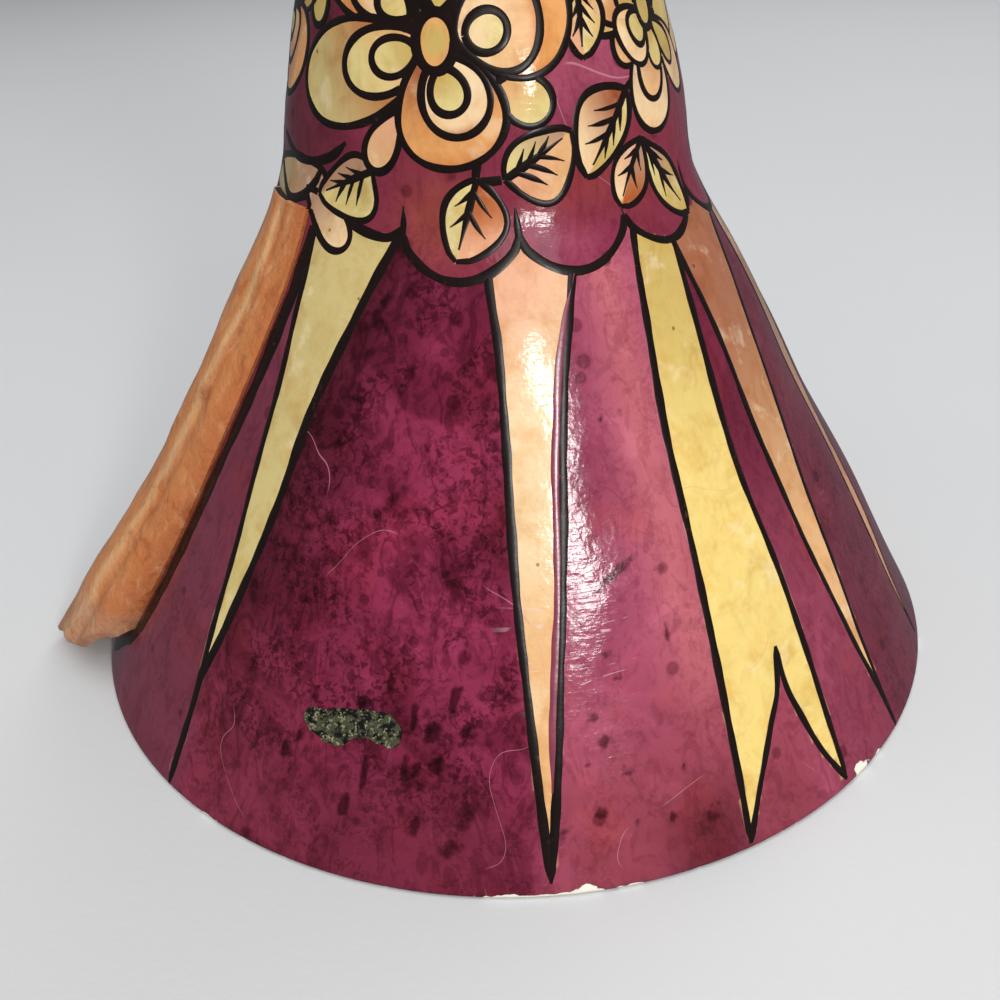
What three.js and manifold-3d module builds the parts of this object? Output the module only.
// A painted papier-mache lady in a bell-shaped gown, standing on the gown's flat base.
// Millimetres, +Z up. The origin is the centre of the base, and the lady faces -Y.
// The whole figure is one work: gown, sash, bodice, arms, head and hair are joined in a single solid.
import * as THREE from "three";
import { mergeVertices } from "three/addons/utils/BufferGeometryUtils.js";
import Module from "manifold-3d";

const wasm = await Module();
wasm.setup();

// ---- Driving dimensions ----
const BASE_RADIUS = 115;
const NECK_TOP = 316;
const LEAN = 0.0236; // the whole figure leans to its right (-X) by this much for each millimetre of height

// Outline of the gown and bodice, from the rim up: height, half width, half depth.
const OUTLINE = [
  { name: "rim", z: 0, wide: BASE_RADIUS, deep: BASE_RADIUS },
  { name: "flare", z: 23, wide: 102.6, deep: 102.6 },
  { name: "knee", z: 69, wide: 77.2, deep: 77.2 },
  { name: "thigh", z: 101, wide: 60.4, deep: 60.4 },
  { name: "hem", z: 122, wide: 48.8, deep: 48.8 },
  { name: "hip", z: 140, wide: 45.3, deep: 45.3 },
  { name: "hip_top", z: 157, wide: 41.2, deep: 40.6 },
  { name: "belly", z: 180, wide: 33.6, deep: 31 },
  { name: "waist", z: 202, wide: 28.5, deep: 24.5 },
  { name: "ribs", z: 226, wide: 31.5, deep: 24.5 },
  { name: "chest", z: 250, wide: 36.5, deep: 24.5 },
  { name: "shoulder", z: 272, wide: 37.5, deep: 20.5 },
  { name: "shoulder_top", z: 284, wide: 26, deep: 16 },
  { name: "neck_base", z: 291, wide: 12.8, deep: 12.5 },
  { name: "neck", z: 300, wide: 10.8, deep: 10.8 },
  { name: "neck_top", z: NECK_TOP, wide: 10.8, deep: 10.8 },
];
const BODY_SEGMENTS = 60;
const BODY_RINGS = 44;

const BUST = { x: 14, z: 247, spread: 11, proud: 6.5 };

// The orange sash tail: a flared band that lies on the gown's right side and stands off it lower down.
const SASH = {
  top: 121,
  bottomInner: 14,
  bottomOuter: 5,
  innerTopDeg: -50.5, // edge nearest the front, at its upper end
  innerBottomDeg: -69,
  straightAbove: 105, // above this height the inner edge runs straight down
  straightSpan: 92,
  widthTopDeg: 28,
  widthBottomDeg: 14,
  proudTop: 1.6,
  proudBottom: 15,
  ridge: 0.78, // where the rolled ridge lies across the band
  fullness: 0.5, // below 1 the band's face bulges out soon after its inner edge
  grooveAt: 0.6,
  grooveWidth: 0.07,
  grooveDepth: 0.1,
  edge: 1.2, // thickness of its inner edge
  sunk: 4, // how far its back reaches into the gown
};
const SASH_ACROSS = 14;
const SASH_ALONG = 16;

// Each arm runs from the shoulder round the elbow to hands folded at the waist: x outward, y, z, radius.
const ARM = [
  { x: 20, y: 1, z: 276, radius: 7 },
  { x: 35, y: 1, z: 264, radius: 14 },
  { x: 40, y: 1, z: 245, radius: 12 },
  { x: 40, y: -2, z: 224, radius: 10.5 },
  { x: 31, y: -18, z: 214, radius: 9.5 },
  { x: 17, y: -28, z: 210, radius: 8 },
  { x: 9, y: -31, z: 209, radius: 6.2 },
];
const ARM_SIDES = 12;
const ARM_STEPS = 16;
const HAND = { x: 2.5, y: -32.5, z: 208.5, long: 12.5, tall: 7.2, thick: 5.6, drop: 3, tilt: 0.35 };

const HEAD = { z: 331, wide: 22.5, deep: 25.5, tall: 30, jaw: 0.3, forward: 3 };
const NOSE = { z: -2, high: 11, wide: 4.2, proud: 4.6 };
const HAIR = { y: 3.2, z: 335.5, wide: 27, deep: 26.5, tall: 29 };
const BUN = { y: 9, z: 367, radius: 14, tall: 12.5 };
const HEAD_SEGMENTS = 24;
const HEAD_ROWS = 18;

const PAINT = { color: 0x7c2f52, roughness: 0.35, metalness: 0 };

const rad = THREE.MathUtils.degToRad;
const mix = THREE.MathUtils.lerp;
const bell = (x, spread) => Math.exp(-((x / spread) ** 2));

// Value of one of the outline's widths at height z: a cubic through the named points, smooth at each of them.
function outlineAt(key, z) {
  const last = OUTLINE.length - 1;
  let i = 0;
  while (i < last - 1 && z > OUTLINE[i + 1].z) i += 1;
  const slope = (k) => {
    const a = OUTLINE[Math.max(k - 1, 0)];
    const b = OUTLINE[Math.min(k + 1, last)];
    return (b[key] - a[key]) / (b.z - a.z);
  };
  const span = OUTLINE[i + 1].z - OUTLINE[i].z;
  const t = THREE.MathUtils.clamp((z - OUTLINE[i].z) / span, 0, 1);
  const from = OUTLINE[i][key];
  const to = OUTLINE[i + 1][key];
  const ease = t * t * (3 - 2 * t);
  const leave = t * (1 - t) * (1 - t) * span * slope(i);
  const arrive = t * t * (t - 1) * span * slope(i + 1);
  return mix(from, to, ease) + leave + arrive;
}

// A point of the gown or bodice. The angle is 0 at the front and grows towards +X.
function bodyPoint(angle, z, out = 0) {
  const wide = outlineAt("wide", z) + out;
  const deep = outlineAt("deep", z) + out;
  const point = new THREE.Vector3(wide * Math.sin(angle), -deep * Math.cos(angle), z);
  if (Math.cos(angle) > 0) {
    const rise = bell(Math.abs(point.x) - BUST.x, BUST.spread) * bell(z - BUST.z, BUST.spread);
    point.y -= BUST.proud * rise * Math.cos(angle);
  }
  return point;
}

// A closed solid through rings of points, each ring with the same number of points, capped at both ends.
function loft(rings) {
  const count = rings[0].length;
  const centre = (ring) =>
    ring.reduce((sum, p) => sum.add(p), new THREE.Vector3()).divideScalar(count);
  const points = [...rings.flat(), centre(rings[0]), centre(rings.at(-1))];
  const first = rings.length * count;
  const index = [];
  for (let r = 0; r < rings.length - 1; r += 1) {
    for (let k = 0; k < count; k += 1) {
      const next = (k + 1) % count;
      const [a, b] = [r * count + k, r * count + next];
      index.push(a, b, b + count, a, b + count, a + count);
    }
  }
  const top = (rings.length - 1) * count;
  for (let k = 0; k < count; k += 1) {
    const next = (k + 1) % count;
    index.push(first, next, k, first + 1, top + k, top + next);
  }
  const geometry = new THREE.BufferGeometry();
  const flat = points.flatMap((p) => [p.x, p.y, p.z]);
  geometry.setAttribute("position", new THREE.Float32BufferAttribute(flat, 3));
  geometry.setIndex(index);
  return geometry;
}

// A closed three.js geometry as a manifold solid, turned inside out first where its faces point inwards.
function solid(geometry) {
  const bare = geometry.clone();
  bare.deleteAttribute("normal");
  bare.deleteAttribute("uv");
  const merged = mergeVertices(bare, 1e-4);
  const vertProperties = new Float32Array(merged.attributes.position.array);
  const triVerts = new Uint32Array(merged.index.array);
  const made = new wasm.Manifold(new wasm.Mesh({ numProp: 3, vertProperties, triVerts }));
  if (made.volume() > 0) return made;
  for (let i = 0; i < triVerts.length; i += 3) {
    [triVerts[i + 1], triVerts[i + 2]] = [triVerts[i + 2], triVerts[i + 1]];
  }
  return new wasm.Manifold(new wasm.Mesh({ numProp: 3, vertProperties, triVerts }));
}

function bodySolid() {
  const rings = [];
  for (let r = 0; r <= BODY_RINGS; r += 1) {
    const z = (NECK_TOP * r) / BODY_RINGS;
    const ring = [];
    for (let k = 0; k < BODY_SEGMENTS; k += 1) {
      ring.push(bodyPoint((2 * Math.PI * k) / BODY_SEGMENTS, z));
    }
    rings.push(ring);
  }
  return solid(loft(rings));
}

// How far the sash stands off the gown, for a share across it from its inner edge and a share down it.
function sashProud(across, down) {
  const height = mix(SASH.proudTop, SASH.proudBottom, down ** 1.15);
  const rising = Math.sin((Math.PI / 2) * Math.min(across / SASH.ridge, 1)) ** SASH.fullness;
  const past = Math.max(across - SASH.ridge, 0) / (1 - SASH.ridge);
  const falling = Math.sqrt(1 - past ** 2);
  const groove = SASH.grooveDepth * bell(across - SASH.grooveAt, SASH.grooveWidth);
  return SASH.edge + (height - SASH.edge) * (rising * falling - groove);
}

function sashSolid() {
  const rings = [];
  for (let j = 0; j <= SASH_ALONG; j += 1) {
    const down = j / SASH_ALONG;
    const width = mix(SASH.widthTopDeg, SASH.widthBottomDeg, down);
    const face = [];
    const back = [];
    for (let i = 0; i <= SASH_ACROSS; i += 1) {
      const across = i / SASH_ACROSS;
      const bottom = mix(SASH.bottomInner, SASH.bottomOuter, Math.min(across / SASH.ridge, 1));
      const z = mix(SASH.top, bottom, down);
      const slant = Math.max(SASH.straightAbove - z, 0) / SASH.straightSpan;
      const inner = mix(SASH.innerTopDeg, SASH.innerBottomDeg, slant);
      const angle = rad(inner - width * across);
      face.push(bodyPoint(angle, z, sashProud(across, down)));
      back.unshift(bodyPoint(angle, z, -SASH.sunk));
    }
    rings.push([...face, ...back]);
  }
  return solid(loft(rings));
}

function armSolid(side) {
  const path = new THREE.CatmullRomCurve3(ARM.map((p) => new THREE.Vector3(side * p.x, p.y, p.z)));
  const rings = [];
  for (let j = 0; j <= ARM_STEPS; j += 1) {
    const t = j / ARM_STEPS;
    const at = t * (ARM.length - 1);
    const i = Math.min(Math.floor(at), ARM.length - 2);
    const radius = mix(ARM[i].radius, ARM[i + 1].radius, at - i);
    const centre = path.getPoint(t);
    const along = path.getTangent(t);
    const across = new THREE.Vector3(0, 1, 0).cross(along).normalize();
    const up = new THREE.Vector3().crossVectors(along, across);
    const ring = [];
    for (let k = 0; k < ARM_SIDES; k += 1) {
      const turn = (2 * Math.PI * k) / ARM_SIDES;
      const spoke = across.clone().multiplyScalar(Math.cos(turn)).addScaledVector(up, Math.sin(turn));
      ring.push(centre.clone().addScaledVector(spoke, radius));
    }
    rings.push(ring);
  }
  return solid(loft(rings));
}

function ellipsoid(wide, deep, tall, columns, rows) {
  const geometry = new THREE.SphereGeometry(1, columns, rows);
  geometry.rotateX(Math.PI / 2);
  geometry.scale(wide, deep, tall);
  return geometry;
}

function handSolid(side) {
  const geometry = ellipsoid(HAND.long, HAND.thick, HAND.tall, 16, 10);
  geometry.rotateY(side * HAND.tilt);
  geometry.translate(side * HAND.x, HAND.y, HAND.z - side * HAND.drop);
  return solid(geometry);
}

function headSolid() {
  const geometry = ellipsoid(HEAD.wide, HEAD.deep, HEAD.tall, HEAD_SEGMENTS, HEAD_ROWS);
  const position = geometry.attributes.position;
  for (let i = 0; i < position.count; i += 1) {
    const below = Math.max(-position.getZ(i) / HEAD.tall, 0);
    const narrow = 1 - HEAD.jaw * below * below;
    const front = Math.max(-position.getY(i) / HEAD.deep, 0);
    const nose = bell(position.getX(i), NOSE.wide) * bell(position.getZ(i) - NOSE.z, NOSE.high / 2);
    position.setX(i, position.getX(i) * narrow);
    position.setY(i, position.getY(i) - HEAD.forward * below * front - NOSE.proud * nose * front);
  }
  geometry.translate(0, 0, HEAD.z);
  return solid(geometry);
}

function hairSolid() {
  const cap = ellipsoid(HAIR.wide, HAIR.deep, HAIR.tall, HEAD_SEGMENTS, HEAD_ROWS);
  cap.translate(0, HAIR.y, HAIR.z);
  const bun = ellipsoid(BUN.radius, BUN.radius, BUN.tall, 20, 14);
  bun.translate(0, BUN.y, BUN.z);
  return solid(cap).add(solid(bun));
}

// The manifold solid as a three.js geometry, leaned as the whole figure leans.
function leaned(made) {
  const mesh = made.getMesh();
  const geometry = new THREE.BufferGeometry();
  geometry.setAttribute("position", new THREE.BufferAttribute(mesh.vertProperties, 3));
  geometry.setIndex(new THREE.BufferAttribute(mesh.triVerts, 1));
  const shear = new THREE.Matrix4().makeShear(0, 0, 0, 0, -LEAN, 0);
  geometry.applyMatrix4(shear);
  geometry.computeVertexNormals();
  return geometry;
}

const parts = [
  sashSolid(),
  armSolid(-1),
  armSolid(1),
  handSolid(-1),
  handSolid(1),
  headSolid(),
  hairSolid(),
];
const whole = parts.reduce((sum, part) => sum.add(part), bodySolid());

const figure = new THREE.Mesh(leaned(whole), new THREE.MeshStandardMaterial(PAINT));
figure.name = "figure";

const lady = new THREE.Group();
lady.add(figure);

export default lady;
